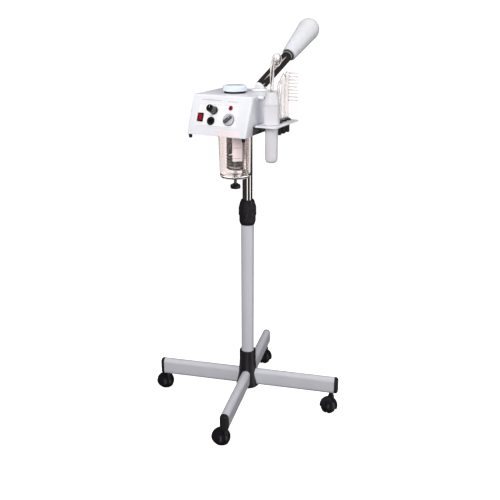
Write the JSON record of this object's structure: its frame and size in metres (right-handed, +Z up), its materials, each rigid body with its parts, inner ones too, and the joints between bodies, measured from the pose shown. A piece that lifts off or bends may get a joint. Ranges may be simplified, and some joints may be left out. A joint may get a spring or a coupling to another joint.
{
  "type": "facial steamer",
  "caption": "Facial steamer head with glass water jar, swinging steam arm and nozzle, side shelf with glass electrodes and a handpiece, on a height-adjustable column with casters.",
  "frame": {"origin": "on the floor, under the axis of the column", "axes": "+Z up along the column, -Y out of the control panel, +X towards the shelf with the electrodes"},
  "size_m": [0.586, 0.5607, 1.149],
  "materials": {
    "stand_paint": "satin light grey-blue powder coat",
    "case_white": "satin white powder coat",
    "control_plate": "glossy white printed film, blank",
    "white_plastic": "semi-gloss white",
    "cap_white": "semi-gloss white",
    "handpiece_white": "semi-gloss white",
    "nozzle_white": "semi-gloss white",
    "black_plastic": "fine textured black",
    "caster_black": "semi-gloss black",
    "wheel_black": "matt black tread",
    "selector_grey": "grey with a silver skirt",
    "knuckle_grey": "dark olive grey",
    "grey_plastic": "dark grey",
    "rubber": "matt",
    "chrome": "polished",
    "steel": "satin stainless",
    "heater_steel": "stained stainless",
    "jar_glass": "clear, faintly warm",
    "glass": "clear, faintly pink",
    "red_plastic": "translucent red",
    "lamp_red": "red jewel"
  },
  "bodies": {
    "stand": {"base_hub": "black_plastic", "lower_column": "stand_paint", "lock_collar": "black_plastic", "guide_bush": "white_plastic", "leg_right": "stand_paint", "leg_back": "stand_paint", "leg_left": "stand_paint", "leg_front": "stand_paint", "leg_cap_right": "black_plastic", "leg_cap_back": "black_plastic", "leg_cap_left": "black_plastic", "leg_cap_front": "black_plastic"},
    "lock_nut": {"lock_nut": "black_plastic"},
    "mast": {"mast_tube": "chrome"},
    "head": {"housing_shell": "case_white", "front_cover": "case_white", "base_pan": "case_white", "mast_socket": "steel", "mains_inlet": "black_plastic", "control_plate": "control_plate", "rocker_bezel": "black_plastic", "lead_socket": "black_plastic", "indicator_lamp": "lamp_red", "boiler_head": "steel", "jar_gasket": "rubber", "tie_rod": "steel", "heater_coil": "heater_steel", "cap_gasket": "rubber", "steam_pipe": "steel", "hf_generator": "grey_plastic", "shelf": "case_white", "shelf_bracket": "grey_plastic", "handpiece_cradle": "white_plastic", "electrode_socket_1": "black_plastic", "electrode_socket_2": "black_plastic", "electrode_socket_3": "black_plastic"},
    "rocker_switch": {"rocker_switch": "red_plastic"},
    "intensity_knob": {"intensity_knob": "black_plastic"},
    "selector_knob": {"selector_knob": "selector_grey"},
    "glass_jar": {"glass_jar": "jar_glass"},
    "jar_nut": {"jar_nut": "black_plastic"},
    "filler_cap": {"filler_cap": "cap_white"},
    "handpiece": {"handpiece_body": "handpiece_white", "handpiece_nose": "handpiece_white"},
    "mushroom_electrode": {"mushroom_electrode": "glass"},
    "comb_electrode": {"comb_electrode": "glass"},
    "tongue_electrode": {"tongue_electrode": "glass"},
    "bent_electrode": {"bent_electrode": "glass"},
    "arm": {"arm_turret": "white_plastic", "steam_arm": "chrome"},
    "knuckle": {"nozzle_knuckle": "knuckle_grey"},
    "nozzle": {"nozzle_shell": "nozzle_white"},
    "caster_right": {"caster_hood_right": "caster_black"},
    "wheels_right": {"caster_wheels_right": "wheel_black"},
    "caster_back": {"caster_hood_back": "caster_black"},
    "wheels_back": {"caster_wheels_back": "wheel_black"},
    "caster_left": {"caster_hood_left": "caster_black"},
    "wheels_left": {"caster_wheels_left": "wheel_black"},
    "caster_front": {"caster_hood_front": "caster_black"},
    "wheels_front": {"caster_wheels_front": "wheel_black"}
  },
  "joints": [
    {"name": "mast_lift", "type": "slide", "parent": "stand", "child": "mast", "axis": [0, 0, 1], "range_m": [-0.2, 0.15]},
    {"name": "head_turn", "type": "hinge", "parent": "mast", "child": "head", "pos_m": [0, 0, 0.89], "axis": [0, 0, 1], "continuous": true},
    {"name": "lock_nut_turn", "type": "hinge", "parent": "stand", "child": "lock_nut", "pos_m": [0, 0, 0.633], "axis": [0, 0, 1], "range_deg": [0, 120]},
    {"name": "caster_swivel_right", "type": "hinge", "parent": "stand", "child": "caster_right", "pos_m": [0.25723, 0.05939, 0.056], "axis": [0, 0, 1], "continuous": true},
    {"name": "wheel_spin_right", "type": "hinge", "parent": "caster_right", "child": "wheels_right", "pos_m": [0.25666, 0.0412, 0.025], "axis": [0.9995, -0.0314, 0], "continuous": true},
    {"name": "caster_swivel_back", "type": "hinge", "parent": "stand", "child": "caster_back", "pos_m": [-0.05939, 0.25723, 0.056], "axis": [0, 0, 1], "continuous": true},
    {"name": "wheel_spin_back", "type": "hinge", "parent": "caster_back", "child": "wheels_back", "pos_m": [-0.05704, 0.23919, 0.025], "axis": [0.9917, 0.1288, 0], "continuous": true},
    {"name": "caster_swivel_left", "type": "hinge", "parent": "stand", "child": "caster_left", "pos_m": [-0.25723, -0.05939, 0.056], "axis": [0, 0, 1], "continuous": true},
    {"name": "wheel_spin_left", "type": "hinge", "parent": "caster_left", "child": "wheels_left", "pos_m": [-0.27382, -0.0519, 0.025], "axis": [-0.4115, -0.9114, 0], "continuous": true},
    {"name": "caster_swivel_front", "type": "hinge", "parent": "stand", "child": "caster_front", "pos_m": [0.05939, -0.25723, 0.056], "axis": [0, 0, 1], "continuous": true},
    {"name": "wheel_spin_front", "type": "hinge", "parent": "caster_front", "child": "wheels_front", "pos_m": [0.04173, -0.25283, 0.025], "axis": [-0.2419, -0.9703, 0], "continuous": true},
    {"name": "cap_lift", "type": "slide", "parent": "head", "child": "filler_cap", "axis": [0, 0, 1], "range_m": [0, 0.06]},
    {"name": "jar_drop", "type": "slide", "parent": "head", "child": "glass_jar", "axis": [0, 0, -1], "range_m": [0, 0.13]},
    {"name": "jar_nut_turn", "type": "hinge", "parent": "glass_jar", "child": "jar_nut", "pos_m": [0.0035, -0.0806, 0.715], "axis": [0, 0, 1], "continuous": true},
    {"name": "power_rocker", "type": "hinge", "parent": "head", "child": "rocker_switch", "pos_m": [-0.0514, -0.16644, 0.9109], "axis": [1, 0, 0], "range_deg": [0, 14]},
    {"name": "intensity_turn", "type": "hinge", "parent": "head", "child": "intensity_knob", "pos_m": [-0.0146, -0.16024, 0.92954], "axis": [0, -0.9239, 0.3826], "range_deg": [0, 270]},
    {"name": "selector_turn", "type": "hinge", "parent": "head", "child": "selector_knob", "pos_m": [0.0319, -0.1684, 0.90984], "axis": [0, -0.9239, 0.3826], "range_deg": [-135, 135]},
    {"name": "handpiece_lift", "type": "slide", "parent": "head", "child": "handpiece", "axis": [0, 0, 1], "range_m": [0, 0.11]},
    {"name": "mushroom_pull", "type": "slide", "parent": "handpiece", "child": "mushroom_electrode", "axis": [0, 0, 1], "range_m": [0, 0.03]},
    {"name": "comb_lift", "type": "slide", "parent": "head", "child": "comb_electrode", "axis": [0, 0, 1], "range_m": [0, 0.05]},
    {"name": "tongue_lift", "type": "slide", "parent": "head", "child": "tongue_electrode", "axis": [0, 0, 1], "range_m": [0, 0.05]},
    {"name": "bent_lift", "type": "slide", "parent": "head", "child": "bent_electrode", "axis": [0, 0, 1], "range_m": [0, 0.05]},
    {"name": "arm_swing", "type": "hinge", "parent": "head", "child": "arm", "pos_m": [0.042, -0.01, 0.977], "axis": [0, 0, 1], "range_deg": [-45, 115]},
    {"name": "nozzle_turn", "type": "hinge", "parent": "arm", "child": "knuckle", "pos_m": [0.07039, 0.12828, 1.0585], "axis": [0.1741, 0.8483, 0.5], "continuous": true},
    {"name": "nozzle_tilt", "type": "hinge", "parent": "knuckle", "child": "nozzle", "pos_m": [0.07039, 0.12828, 1.0585], "axis": [0.9796, -0.2011, 0], "range_deg": [-12, 12]}
  ]
}
